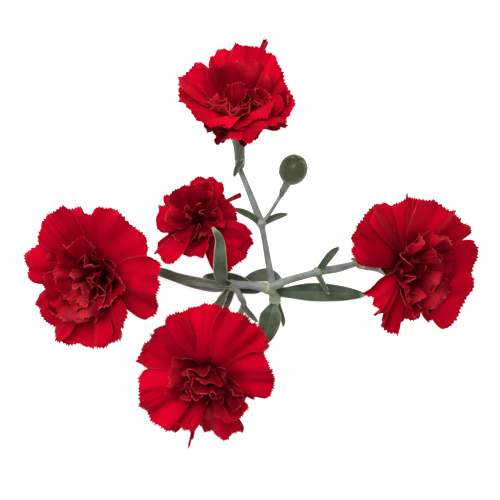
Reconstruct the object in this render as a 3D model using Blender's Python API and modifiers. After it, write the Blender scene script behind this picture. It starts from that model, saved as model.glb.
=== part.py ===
"""A cut spray carnation lying on a flat surface: five red blooms and a bud on one branching stem.

Metres, +Z up. The surface is z = 0 and the origin is on it, under the middle of the spray.
Lengths in the tables are in millimetres and angles in degrees. A heading is an angle in plan, from +X
towards +Y, and a tilt is an angle above the horizontal.
"""

import math

import bmesh
import bpy
import numpy as np
from mathutils import Matrix, Vector

MM = 0.001

# Driving dimensions, in millimetres.
PETAL_THICK = 0.7
LEAF_THICK = 0.8
GAP = 0.3  # between pieces that touch
CALYX_LENGTH = 19.0
FOOTPRINT_MIDDLE = (1.7, 3.1)  # of the layout below, which is moved so that this is the origin

# How each petal leaves the throat of the calyx.
CLAW_RADIUS = 1.6
CLAW_TILT = 82.0
CLAW_HALF_WIDTH = 1.3
CLAW_SHARE = 0.5  # of the petal's length, over which it bends outwards
HIDDEN_SHARE = 0.2  # of the petal's length, inside the heart of the bloom
HEART = [(3.2, 0.2), (4.0, 2.4), (6.4, 4.6), (7.8, 7.4), (7.6, 10.4), (5.6, 13.4), (2.4, 15.0)]

# Each bloom: the throat of its calyx, where its axis points, its size, the turn, tilt and size of its
# inner petals, and its outer petals as (heading, length, half spread, tilt), which give it its outline.
BLOOMS = {
    "left": {
        "throat": (-61.7, -9.3, 20.5),
        "heading": 188,
        "tilt": 58,
        "scale": 1.03,
        "inner": (20, 44, 1.0),
        "outer": [
            (54, 30, 32, -8),
            (-11, 40, 22, -1),
            (98, 30, 25, -11),
            (118, 38, 15, 28),
            (155, 34, 26, 22),
            (225, 37, 22, 9),
            (307, 38, 16, 19),
            (188, 36, 26, -36),
            (140, 39, 22, -19),
            (268, 37, 26, 12),
        ],
    },
    "bottom": {
        "throat": (-16.1, -49.3, 20.5),
        "heading": 243,
        "tilt": 58,
        "scale": 1.04,
        "inner": (30, 46, 1.0),
        "outer": [
            (53, 34, 23, -25),
            (104, 33, 24, -31),
            (20, 33, 23, -51),
            (144, 32, 26, -13),
            (194, 36, 22, 41),
            (245, 31, 11, 45),
            (313, 27, 21, 31),
            (5, 32, 23, -5),
            (277, 35, 21, -3),
            (215, 37, 21, 7),
            (166, 35, 17, -17),
            (315, 25, 18, -25),
            (247, 38, 24, -32),
            (255, 38, -1, 10),
        ],
    },
    "right": {
        "throat": (60.5, -7.4, 17.6),
        "heading": 354,
        "tilt": 47,
        "scale": 1.0,
        "inner": (50, 46, 1.0),
        "outer": [
            (102, 33, 29, -18),
            (74, 39, 32, 29),
            (131, 33, 31, -22),
            (155, 35, 15, -14),
            (208, 36, 12, 14),
            (286, 27, 31, -15),
            (-18, 38, 33, 30),
            (323, 35, 20, 6),
            (32, 40, 16, 16),
            (84, 37, 25, 2),
            (262, 32, 10, -7),
            (340, 37, 22, -12),
        ],
    },
    "top": {
        "throat": (-4.9, 50.3, 18.4),
        "heading": 92,
        "tilt": 38,
        "scale": 0.93,
        "inner": (0, 52, 1.1),
        "outer": [
            (189, 36, 30, 32),
            (158, 40, 27, 40),
            (106, 41, 13, 44),
            (12, 34, 31, 33),
            (-9, 26, 12, 5),
            (-68, 41, 22, 22),
            (194, 19, 37, 24),
            (61, 41, 21, 54),
            (130, 35, 15, 40),
            (100, 38, 24, 2),
            (62, 46, -1, 46),
        ],
    },
    "centre": {
        "throat": (-21.4, 11.2, 16.8),
        "heading": 120,
        "tilt": 66,
        "scale": 0.72,
        "inner": (24, 38, 0.9),
        "outer": [
            (71, 31, 20, 20),
            (117, 26, 32, 0),
            (181, 29, 24, 19),
            (236, 40, 16, 11),
            (315, 44, 22, -26),
            (33, 25, 33, -3),
            (258, 28, 29, 6),
            (-23, 39, 12, -17),
            (26, 35, -1, 7),
        ],
    },
}
OUTER_SHAPE = {"wave": 1.4, "curl": -14, "cup": 0.02, "faces": (3, 4)}

# The inner petals of every bloom as a whorl and a tuft: how many, their length, half spread, tilt, wave
# and cup. The whorl takes its own turn, tilt and size from the bloom.
INNER_WHORL = {"count": 4, "length": 31, "spread": 26, "curl": -12, "wave": 1.5, "cup": 0.12, "faces": (2, 3)}
TUFT = {"count": 3, "length": 27, "spread": 20, "curl": 0, "wave": 1.0, "cup": 0.2, "faces": (2, 2)}
TUFT_TILT = 70
TUFT_TURN = 50
OVERLAP_ROLL = 11.0  # of every petal about its middle line, so that neighbours lie over each other

# The stems as (x, y, z, radius) along their middles, swollen at the nodes where leaves and branches
# leave them. The main stem runs from its cut end through its three nodes.
MAIN_STEM = [
    (0.2, -50.0, 2.1, 1.9),
    (3.4, -40.0, 2.1, 1.9),
    (7.8, -30.0, 3.6, 1.9),
    (10.2, -24.6, 6.6, 2.0),
    (10.8, -21.6, 8.8, 2.6),
    (10.0, -18.8, 11.0, 1.9),
    (7.3, -16.6, 12.9, 2.5),
    (3.6, -15.8, 13.4, 1.8),
    (-1.4, -15.2, 13.4, 1.6),
    (-5.6, -15.2, 13.2, 1.8),
    (-8.0, -15.4, 13.0, 2.5),
    (-10.4, -15.9, 12.4, 1.6),
    (-12.2, -16.6, 11.4, 1.3),
]
TOP_BRANCH = [
    (10.8, -21.6, 8.8, 1.6),
    (9.9, -15.8, 7.2, 1.6),
    (8.5, -8.0, 7.6, 1.45),
    (6.4, 4.0, 9.2, 1.25),
    (5.4, 9.2, 9.8, 1.3),
    (4.9, 11.6, 10.0, 2.2),
    (4.0, 14.0, 10.2, 1.65),
    (0.2, 24.0, 10.2, 1.4),
    (-3.0, 31.8, 9.2, 1.2),
]
RIGHT_BRANCH = [
    (7.3, -16.6, 12.9, 1.8),
    (11.0, -15.4, 12.6, 1.8),
    (16.4, -13.2, 11.8, 1.65),
    (26.6, -10.4, 9.8, 1.6),
    (29.4, -9.5, 9.2, 2.3),
    (32.2, -9.0, 8.6, 1.8),
    (38.6, -8.0, 6.0, 1.75),
]
LEFT_STALK = [
    (-12.4, -16.9, 11.2, 1.3),
    (-17.0, -17.0, 8.7, 1.3),
    (-26.0, -15.1, 5.5, 1.3),
    (-41.0, -9.8, 3.0, 1.4),
]
BOTTOM_STALK = [
    (-6.8, -15.5, 13.2, 1.3),
    (-4.0, -20.8, 11.0, 1.3),
    (-3.2, -25.4, 6.6, 1.3),
]
CENTRE_STALK = [
    (-9.6, -15.6, 12.6, 1.2),
    (-12.6, -10.0, 8.6, 1.2),
    (-17.2, 0.6, 3.6, 1.2),
]
BUD_STALK = [
    (4.9, 11.6, 10.0, 0.8),
    (8.4, 15.8, 11.0, 0.8),
    (12.9, 22.9, 12.0, 0.9),
    (14.3, 25.4, 12.6, 1.3),
]

BUD_PROFILE = [
    (1.2, 0.0), (2.6, 0.5), (4.5, 2.4), (5.8, 5.0), (6.1, 7.4), (5.6, 10.0), (4.4, 12.4), (1.6, 14.5),
]
BUD = {"base": (16.6, 30.0, 14.6), "heading": 66, "tilt": 45}

# Each leaf: the stem it grows from, its middle line from inside that stem, its greatest half width, where
# along it that is, its roll from base to tip in degrees and how deep its channel is.
LEAVES = {
    "leaf_lower_front": ("main_stem", 4.8, 0.36, (0, 0), 0.12, [
        (10.6, -22.6, 9.4), (9.5, -27.0, 10.6), (7.9, -34.0, 9.4), (6.2, -41.6, 6.4),
    ]),
    "leaf_lower_back": ("main_stem", 2.9, 0.6, (0, 0), 0.0, [
        (11.8, -22.0, 6.8), (12.8, -17.4, 4.0), (11.6, -13.4, 2.2), (8.0, -11.0, 1.4),
        (3.4, -11.4, 1.4), (-2.6, -13.0, 1.4),
    ]),
    "leaf_middle_right": ("main_stem", 4.1, 0.48, (0, 0), 0.14, [
        (8.4, -17.8, 11.4), (12.9, -18.5, 9.2), (28.0, -18.4, 7.2), (51.2, -19.7, 4.5),
    ]),
    "leaf_middle_left": ("main_stem", 3.9, 0.5, (0, 0), 0.1, [
        (6.2, -17.0, 11.6), (1.0, -16.8, 8.0), (-9.0, -13.8, 5.6), (-20.6, -11.6, 5.0),
    ]),
    "leaf_upper_rising": ("main_stem", 2.95, 0.45, (0, 8), 0.3, [
        (-8.8, -14.8, 14.6), (-12.0, -13.4, 21.4), (-12.7, -8.8, 31.0), (-12.8, -2.4, 36.2),
        (-13.0, 4.2, 38.4),
        (-15.8, 9.8, 39.0),
    ]),
    "leaf_upper_left": ("main_stem", 2.2, 0.8, (0, -25), 0.2, [
        (-9.6, -15.8, 13.8), (-15.2, -14.9, 15.4), (-21.9, -13.7, 15.0), (-27.4, -12.8, 13.6),
        (-33.0, -11.5, 11.6),
        (-42.0, -8.0, 9.6),
    ]),
    "leaf_upper_pale": ("main_stem", 2.6, 0.5, (0, 0), 0.15, [
        (-9.8, -17.0, 12.8), (-12.0, -20.8, 10.2), (-15.2, -25.4, 6.0), (-24.0, -31.0, 2.8),
        (-42.6, -35.6, 1.4),
    ]),
    "leaf_branch_left": ("top_branch", 1.45, 0.55, (0, 0), 0.2, [
        (4.6, 11.8, 10.4), (2.0, 13.8, 12.4), (-1.8, 16.0, 13.6), (-7.2, 18.1, 14.2),
    ]),
    "leaf_branch_right": ("top_branch", 1.4, 0.55, (0, 0), 0.2, [
        (5.2, 11.6, 9.4), (8.4, 13.2, 8.0), (12.2, 14.8, 7.6), (16.6, 15.8, 7.4),
    ]),
    "leaf_right_up": ("right_branch", 1.7, 0.6, (0, 0), 0.2, [
        (30.0, -9.2, 9.8), (32.2, -5.8, 12.2), (35.3, -1.8, 14.4), (38.8, 1.4, 16.0),
    ]),
    "leaf_right_down": ("right_branch", 1.1, 0.5, (0, 0), 0.2, [
        (29.4, -9.9, 9.4), (30.8, -12.8, 11.0), (32.6, -16.0, 11.4), (34.4, -19.2, 11.0),
    ]),
}
LEAF_BASE_HALF = 1.1
LEAF_TIP_HALF = 0.35
LEAF_FACES = (7, 2)

# The small bracts that belong to each stem: their half width and their middle lines.
BRACT_HALF = 1.2
BRACT_FACES = (3, 1)
BRACTS = {
    "main_stem": [
        [(-7.8, -16.2, 12.4), (-9.0, -21.4, 8.4), (-11.8, -28.0, 6.8), (-12.4, -32.0, 5.2)],
        [(11.4, -22.6, 7.2), (13.4, -27.6, 6.2), (14.6, -31.0, 5.6), (14.6, -33.6, 5.2)],
    ],
    "top_branch": [
        [(-3.6, 33.6, 8.8), (-6.2, 34.2, 10.4), (-7.0, 32.8, 11.6), (-6.6, 30.8, 11.9)],
    ],
    "right_branch": [
        [(44.4, -6.4, 4.4), (44.6, -4.2, 6.8), (43.4, -3.0, 8.4)],
    ],
    "bottom_stalk": [
        [(-3.4, -24.2, 8.0), (-0.6, -27.4, 7.8), (3.4, -31.6, 7.0)],
    ],
    "bud_stalk": [
        [(13.1, 22.6, 12.4), (13.9, 24.2, 13.9), (14.4, 26.2, 14.7)],
    ],
}

COLOURS = {
    "petal": ((0.60, 0.004, 0.016), 0.6),
    "calyx": ((0.13, 0.19, 0.10), 0.55),
    "stem": ((0.26, 0.31, 0.27), 0.55),
    "leaf": ((0.09, 0.16, 0.08), 0.5),
}


# ---------------------------------------------------------------- scene and object helpers


def clear_scene():
    for obj in list(bpy.data.objects):
        bpy.data.objects.remove(obj)


def new_collection(name):
    made = bpy.data.collections.new(name)
    bpy.context.scene.collection.children.link(made)
    return made


def material(kind):
    """The Principled material of one kind of tissue."""
    found = bpy.data.materials.get(kind)
    if found:
        return found
    made = bpy.data.materials.new(kind)
    made.use_nodes = True
    shader = made.node_tree.nodes["Principled BSDF"]
    colour, roughness = COLOURS[kind]
    shader.inputs["Base Color"].default_value = (*colour, 1)
    shader.inputs["Roughness"].default_value = roughness
    shader.inputs["Metallic"].default_value = 0
    return made


def mesh_object(name, mesh, collection):
    obj = bpy.data.objects.new(name, mesh)
    collection.objects.link(obj)
    return obj


def evaluated_mesh(obj):
    """The mesh of the object with its modifiers applied."""
    bpy.context.view_layer.update()
    graph = bpy.context.evaluated_depsgraph_get()
    return bpy.data.meshes.new_from_object(obj.evaluated_get(graph), depsgraph=graph)


def apply_modifiers(obj):
    obj.data = evaluated_mesh(obj)
    obj.modifiers.clear()
    return obj


def boolean(obj, other, operation):
    """Joins or cuts obj with another object, or joins it with a whole collection, and removes those."""
    modifier = obj.modifiers.new(operation.title(), "BOOLEAN")
    modifier.operation = operation
    modifier.solver = "MANIFOLD"
    if isinstance(other, bpy.types.Collection):
        modifier.operand_type = "COLLECTION"
        modifier.collection = other
        used = list(other.objects)
    else:
        modifier.object = other
        used = [other]
    apply_modifiers(obj)
    for spent in used:
        bpy.data.objects.remove(spent)
    return obj


def keep_outer_skin(obj):
    """Keeps the largest closed skin: hollows sealed between blades are filled and loose scraps go."""
    bm = bmesh.new()
    bm.from_mesh(obj.data)
    unseen = set(bm.verts)
    skins = []
    while unseen:
        found, front = set(), [unseen.pop()]
        while front:
            vert = front.pop()
            found.add(vert)
            near = {edge.other_vert(vert) for edge in vert.link_edges} & unseen
            unseen -= near
            front.extend(near)
        skins.append(found)
    skins.sort(key=len)
    spare = [vert for skin in skins[:-1] for vert in skin]
    bmesh.ops.delete(bm, geom=spare, context="VERTS")
    bm.to_mesh(obj.data)
    bm.free()
    return obj


def finish(obj, name, kind):
    """Names a finished piece, gives it its material and puts it in the spray."""
    obj.name = name
    obj.data.materials.clear()
    obj.data.materials.append(material(kind))
    HELPERS.objects.unlink(obj)
    SPRAY.objects.link(obj)
    return obj


def place(obj, frame, origin, scale=1.0):
    """Moves the object's mesh from its own frame, whose axes are the columns, to its place."""
    turned_and_moved = np.column_stack([frame * scale, np.array(origin) * MM])
    obj.data.transform(Matrix(np.vstack([turned_and_moved, [0, 0, 0, 1]])))
    return obj


# ---------------------------------------------------------------- curves, tubes, sheets, turned bodies


def smooth_path(points, steps):
    """A Catmull-Rom curve through the points, with that many steps between each two."""
    p = np.array(points, float)
    p = np.vstack([2 * p[0] - p[1], p, 2 * p[-1] - p[-2]])
    t = (np.arange(steps) / steps)[:, None]
    pieces = []
    for a, b, c, d in zip(p, p[1:], p[2:], p[3:]):
        pieces.append(
            0.5 * (2 * b + (c - a) * t + (2 * a - 5 * b + 4 * c - d) * t**2 + (3 * b - a - 3 * c + d) * t**3)
        )
    return np.vstack([*pieces, p[-2]])


def tube(name, path, extra=0.0):
    """A round stem along (x, y, z, radius) points, thicker and longer by extra, as a closed body."""
    path = np.array(path, float)
    for end, inner in ((0, 1), (-1, -2)):
        out = path[end, :3] - path[inner, :3]
        path[end, :3] += out / np.linalg.norm(out) * extra
    curve = bpy.data.curves.new(name, "CURVE")
    curve.dimensions = "3D"
    curve.bevel_depth = MM
    curve.bevel_resolution = 2
    curve.use_fill_caps = True
    spline = curve.splines.new("POLY")
    spline.points.add(len(path) - 1)
    for point, (x, y, z, radius) in zip(spline.points, path):
        point.co = (x * MM, y * MM, z * MM, 1)
        point.radius = radius + extra
    guide = mesh_object(name, curve, HELPERS)
    mesh = evaluated_mesh(guide)
    bpy.data.objects.remove(guide)
    bm = bmesh.new()
    bm.from_mesh(mesh)
    bmesh.ops.remove_doubles(bm, verts=bm.verts, dist=1e-6)
    bmesh.ops.recalc_face_normals(bm, faces=bm.faces)
    bm.to_mesh(mesh)
    bm.free()
    return mesh_object(name, mesh, HELPERS)


def sheet(points, thickness):
    """A grid of points, in millimetres, as a blade of even thickness, pressed flat where it meets the
    surface. Both faces of the blade are split into the same triangles."""
    rows, columns = points.shape[0] - 1, points.shape[1] - 1
    bm = bmesh.new()
    bmesh.ops.create_grid(bm, x_segments=columns, y_segments=rows, size=1)
    for vert in bm.verts:
        row = round((vert.co.y + 1) / 2 * rows)
        column = round((vert.co.x + 1) / 2 * columns)
        vert.co = Vector(points[row, column] * MM)
    bmesh.ops.triangulate(bm, faces=bm.faces, quad_method="SHORT_EDGE")
    mesh = bpy.data.meshes.new("blade")
    bm.to_mesh(mesh)
    bm.free()
    obj = mesh_object("blade", mesh, HELPERS)
    solidify = obj.modifiers.new("Thickness", "SOLIDIFY")
    solidify.thickness = thickness * MM
    solidify.offset = 0
    return apply_modifiers(obj)


def press_on_surface(obj, thickness):
    """Lifts what would dip below z = 0. The two faces of a blade follow each other in its list of points,
    so the partner of each point is half the list away, and the upper one stays a thickness above."""
    mesh = obj.data
    co = np.empty(len(mesh.vertices) * 3)
    mesh.vertices.foreach_get("co", co)
    z = co.reshape(2, -1, 3)[:, :, 2]
    upper = z >= z.mean(axis=0)
    z[:] = np.maximum(z, np.where(upper, thickness * MM * 0.9, 0))
    mesh.vertices.foreach_set("co", co)
    return obj


def turned(name, profile, sides):
    """A closed body turned about Z from (radius, height) points that run from bottom to top."""
    points = [(0, profile[0][1]), *profile, (0, profile[-1][1])]
    mesh = bpy.data.meshes.new(name)
    edges = [(i, i + 1) for i in range(len(points) - 1)]
    mesh.from_pydata([(r * MM, 0, z * MM) for r, z in points], edges, [])
    obj = mesh_object(name, mesh, HELPERS)
    screw = obj.modifiers.new("Turn", "SCREW")
    screw.steps = screw.render_steps = sides
    screw.use_merge_vertices = True
    screw.merge_threshold = 1e-5
    apply_modifiers(obj)
    bm = bmesh.new()
    bm.from_mesh(obj.data)
    bmesh.ops.recalc_face_normals(bm, faces=bm.faces)
    bm.to_mesh(obj.data)
    bm.free()
    return obj


# ---------------------------------------------------------------- petals


def ease(x):
    """0 below 0 and 1 above 1, with a smooth climb between."""
    x = np.clip(x, 0, 1)
    return x * x * (3 - 2 * x)


def petal_points(length, spread, tilt, curl, faces, wave, phase, cup):
    """One petal's middle surface in the bloom's frame, heading along +X, as [row, column, xyz].

    The middle line climbs out of the calyx at CLAW_TILT, bends to its own tilt and curls over its outer
    half. The blade widens like a fan from a narrow claw, its margin is rounded, and waves grow towards it.
    """
    rows, columns = faces
    u = HIDDEN_SHARE + (1 - HIDDEN_SHARE) * np.linspace(0, 1, rows + 1)[:, None] ** 0.9
    v = np.linspace(-1, 1, columns + 1)[None, :]
    s = u * (1 - 0.12 * v**4 - 0.05 * v**2)
    fine = np.linspace(0, 1.1, 111)
    angle = CLAW_TILT + (tilt - CLAW_TILT) * ease(fine / CLAW_SHARE)
    angle = np.radians(angle + curl * ease((fine - 0.6) / 0.5))
    step = fine[1] * length
    along = np.concatenate([[0], np.cumsum(np.cos(angle) * step)[:-1]])
    up = np.concatenate([[0], np.cumsum(np.sin(angle) * step)[:-1]])
    r = CLAW_RADIUS + np.interp(s, fine, along)
    z = np.interp(s, fine, up)
    a = np.interp(s, fine, angle)
    half = CLAW_HALF_WIDTH + math.tan(math.radians(spread)) * length * s * ease((s - 0.1) / 0.5)
    side = v * half * (1 - 0.18 * ease((s - 0.7) / 0.3) * v**2)
    lift = wave * ease((s - 0.25) / 0.75) * np.sin(math.pi * 1.5 * v + phase) + cup * half * v**2
    lift = lift + side * math.tan(math.radians(OVERLAP_ROLL)) * ease(s / 0.5)
    return np.stack([r - lift * np.sin(a), side, z + lift * np.cos(a)], axis=-1)


def bloom_frame(heading, tilt):
    """Columns are the bloom's own X, Y and Z: Z is its axis and X points outwards and down."""
    a, e = math.radians(heading), math.radians(tilt)
    x = [math.cos(a) * math.sin(e), math.sin(a) * math.sin(e), -math.cos(e)]
    z = [math.cos(a) * math.cos(e), math.sin(a) * math.cos(e), math.sin(e)]
    return np.array([x, np.cross(z, x), z]).T


def placed(points, turn, bloom):
    """Petal points turned about the bloom's axis and put in their place in the spray."""
    c, s = math.cos(math.radians(turn)), math.sin(math.radians(turn))
    about_axis = points @ np.array([[c, s, 0], [-s, c, 0], [0, 0, 1]])
    frame = bloom_frame(bloom["heading"], bloom["tilt"])
    return about_axis @ frame.T * bloom["scale"] + np.array(bloom["throat"])


def petals_of(bloom, seed):
    """The turn and the shape of each petal of a bloom."""
    draw = np.random.default_rng(seed)
    petals = []
    for heading, length, spread, tilt in bloom["outer"]:
        shape = {"length": length, "spread": spread, "tilt": tilt, **OUTER_SHAPE}
        petals.append((heading - bloom["heading"], shape))
    turn, tilt, size = bloom["inner"]
    for whorl, start, lean in ((INNER_WHORL, turn, tilt), (TUFT, TUFT_TURN, TUFT_TILT)):
        for k in range(whorl["count"]):
            shape = {key: value for key, value in whorl.items() if key != "count"}
            shape["length"] = whorl["length"] * size + draw.uniform(-1.5, 1)
            shape["tilt"] = lean + draw.uniform(-6, 6)
            petals.append((start + 360 * k / whorl["count"] + draw.uniform(-7, 7), shape))
    for _, shape in petals:
        shape["phase"] = draw.uniform(0, 2 * math.pi)
    return petals


def make_petals(name, bloom, seed):
    """All the petals of a bloom joined with the small solid heart their claws run into."""
    blades = new_collection("blades")
    for turn, shape in petals_of(bloom, seed):
        points = placed(petal_points(**shape), turn, bloom)
        blade = press_on_surface(sheet(points, PETAL_THICK), PETAL_THICK)
        HELPERS.objects.unlink(blade)
        blades.objects.link(blade)
    heart = turned("heart", HEART, 10)
    place(heart, bloom_frame(bloom["heading"], bloom["tilt"]), bloom["throat"], bloom["scale"])
    boolean(heart, blades, "UNION")
    bpy.data.collections.remove(blades)
    return finish(keep_outer_skin(heart), name, "petal")


# ---------------------------------------------------------------- calyxes and bud


def tooth_points(radius, height, length, half, lean):
    """A pointed tooth on a cup of that radius, from that height up, leaning out by lean."""
    u = np.array([[0.0], [1.0]])
    v = np.array([[-1.0, 1.0]])
    side = v * (half * (1 - u) + 0.35)
    r = radius + lean * u + 0 * v
    z = height + length * u + 0 * v
    return np.stack([r, side, z], axis=-1)


def ring_of_teeth(body, count, turn, **shape):
    """Joins equal teeth round a cup."""
    for k in range(count):
        tooth = sheet(tooth_points(**shape), LEAF_THICK)
        tooth.data.transform(Matrix.Rotation(math.tau * k / count + turn, 4, "Z"))
        boolean(body, tooth, "UNION")


def make_calyx(name, bloom):
    """The green cup under a bloom: a slender tube that flares to five pointed teeth, with four small
    scales hugging its foot."""
    scale = bloom["scale"]
    rim = -GAP / scale
    foot = -CALYX_LENGTH
    profile = [(1.5, foot), (2.0, foot + 1.4), (2.2, -11.0), (2.7, -6.0), (3.7, -2.2), (4.5, rim)]
    cup = turned("cup", profile, 9)
    ring_of_teeth(cup, 5, 0.3, radius=3.0, height=-3.4, length=5.0, half=2.0, lean=2.4)
    ring_of_teeth(cup, 4, 0.5, radius=1.9, height=foot + 1.2, length=5.6, half=1.4, lean=0.7)
    frame = bloom_frame(bloom["heading"], bloom["tilt"])
    place(cup, frame, bloom["throat"], scale)
    return finish(cup, name, "calyx")


def calyx_foot(bloom):
    """Where the stalk meets the calyx, and the direction of the bloom's axis."""
    axis = bloom_frame(bloom["heading"], bloom["tilt"])[:, 2]
    return np.array(bloom["throat"]) - axis * CALYX_LENGTH * bloom["scale"], axis


def make_bud():
    """The closed bud: an egg-shaped calyx shut by its teeth, with scales at its foot."""
    bud = turned("bud", BUD_PROFILE, 12)
    ring_of_teeth(bud, 4, 0.4, radius=2.5, height=0.5, length=3.8, half=2.0, lean=2.8)
    place(bud, bloom_frame(BUD["heading"], BUD["tilt"]), BUD["base"])
    return finish(bud, "bud", "calyx")


# ---------------------------------------------------------------- stems and leaves


def make_stem(name, parent):
    """A stem along its path with its bracts; a branch's foot is hollowed to fit round its parent."""
    stem = tube(name, STEMS[name])
    for line in BRACTS.get(name, []):
        bract = sheet(leaf_points(line, BRACT_HALF, 0.4, (0, 0), 0.0, BRACT_FACES), LEAF_THICK)
        boolean(stem, bract, "UNION")
    if parent is not None:
        boolean(stem, tube("parent", STEMS[parent], GAP), "DIFFERENCE")
    return finish(stem, name, "stem")


def path_to(points, foot, axis):
    """The path of a stem carried on to the foot of a calyx, ending square to its axis."""
    end = foot - axis * GAP
    return np.vstack([smooth_path([*points, (*(end - axis * 1.6), 1.3)], 2), (*end, 1.6)])


def leaf_points(line, half, widest, roll, fold, faces):
    """A narrow leaf's middle surface along its line: its half width grows from the sheath to its widest
    place and closes to a point, its blade is channelled, and it rolls evenly from one angle to another."""
    path = smooth_path(line, 8)
    steps = np.linalg.norm(np.diff(path, axis=0), axis=1)
    share = np.concatenate([[0], np.cumsum(steps)]) / steps.sum()
    u = np.linspace(0, 1, faces[0] + 1)
    middle = np.stack([np.interp(u, share, path[:, k]) for k in range(3)], axis=-1)
    along = np.gradient(middle, axis=0)
    along /= np.linalg.norm(along, axis=1)[:, None]
    side = np.cross([0, 0, 1], along)
    side /= np.linalg.norm(side, axis=1)[:, None]
    up = np.cross(along, side)
    a = np.radians(roll[0] + (roll[1] - roll[0]) * u)[:, None]
    side, up = side * np.cos(a) + up * np.sin(a), up * np.cos(a) - side * np.sin(a)
    grow = LEAF_BASE_HALF + (half - LEAF_BASE_HALF) * ease(u / widest)
    beyond = np.clip((u - widest) / (1 - widest), 0, 1)
    close = LEAF_TIP_HALF + (half - LEAF_TIP_HALF) * np.sqrt(1 - beyond**2)
    width = np.where(u < widest, grow, close)[:, None]
    v = np.linspace(-1, 1, faces[1] + 1)
    rows = [middle + side * width * x + up * width * fold * abs(x) for x in v]
    return np.stack(rows, axis=1)


def make_leaf(name, stem, half, widest, roll, fold, line):
    """A leaf, with its foot cut back to sit just clear of the stem it sheathes."""
    blade = sheet(leaf_points(line, half, widest, roll, fold, LEAF_FACES), LEAF_THICK)
    press_on_surface(blade, LEAF_THICK)
    boolean(blade, tube("parent", STEMS[stem], GAP), "DIFFERENCE")
    return finish(keep_outer_skin(blade), name, "leaf")


# ---------------------------------------------------------------- the spray

clear_scene()
SPRAY = new_collection("spray_carnation")
HELPERS = new_collection("helpers")
HELPERS.hide_render = True

STEMS = {
    "main_stem": smooth_path(MAIN_STEM, 2),
    "top_branch": path_to(TOP_BRANCH, *calyx_foot(BLOOMS["top"])),
    "right_branch": path_to(RIGHT_BRANCH, *calyx_foot(BLOOMS["right"])),
    "left_stalk": path_to(LEFT_STALK, *calyx_foot(BLOOMS["left"])),
    "bottom_stalk": path_to(BOTTOM_STALK, *calyx_foot(BLOOMS["bottom"])),
    "centre_stalk": path_to(CENTRE_STALK, *calyx_foot(BLOOMS["centre"])),
    "bud_stalk": path_to(BUD_STALK, np.array(BUD["base"]), bloom_frame(BUD["heading"], BUD["tilt"])[:, 2]),
}
PARENTS = {"main_stem": None, "bud_stalk": "top_branch"}

for stem_name in STEMS:
    make_stem(stem_name, PARENTS.get(stem_name, "main_stem"))
for leaf_name, leaf_shape in LEAVES.items():
    make_leaf(leaf_name, *leaf_shape)
for number, (bloom_name, bloom_shape) in enumerate(BLOOMS.items()):
    make_calyx(f"{bloom_name}_calyx", bloom_shape)
    make_petals(f"{bloom_name}_petals", bloom_shape, number + 1)
make_bud()

for piece in SPRAY.objects:
    piece.data.transform(Matrix.Translation((-FOOTPRINT_MIDDLE[0] * MM, -FOOTPRINT_MIDDLE[1] * MM, 0)))
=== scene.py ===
"""The looks of a cut spray carnation lying on a flat surface: ruffled petals, toothed calyxes, waxy leaves
and stems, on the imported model's frame.

Lengths in the tables are in millimetres and angles in degrees. A heading is an angle in plan, from +X
towards +Y, and a tilt is an angle above the horizontal. Each plant part keeps the place its solid has.
"""

import math

import bmesh
import bpy
import numpy as np
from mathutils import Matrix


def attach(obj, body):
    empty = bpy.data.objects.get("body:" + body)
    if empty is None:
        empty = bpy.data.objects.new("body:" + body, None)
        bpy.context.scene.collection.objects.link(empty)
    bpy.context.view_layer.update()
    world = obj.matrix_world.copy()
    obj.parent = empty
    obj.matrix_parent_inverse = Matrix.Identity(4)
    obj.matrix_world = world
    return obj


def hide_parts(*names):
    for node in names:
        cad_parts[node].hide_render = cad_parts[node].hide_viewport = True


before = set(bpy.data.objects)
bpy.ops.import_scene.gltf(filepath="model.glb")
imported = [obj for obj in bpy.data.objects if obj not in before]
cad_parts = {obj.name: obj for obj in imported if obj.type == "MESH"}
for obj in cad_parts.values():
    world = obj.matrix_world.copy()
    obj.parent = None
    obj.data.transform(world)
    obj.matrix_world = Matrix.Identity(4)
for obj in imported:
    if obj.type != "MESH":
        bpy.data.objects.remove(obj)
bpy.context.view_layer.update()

MM = 0.001
# Where the middle of the spray's footprint lies in the tables.
FOOTPRINT_MIDDLE = np.array([1.7, 3.1, 0.0])

PETAL_THICK = 0.24
LEAF_THICK = 0.55
CALYX_THICK = 0.35
CALYX_LENGTH = 19.0

# ---------------------------------------------------------------- the blooms

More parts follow.
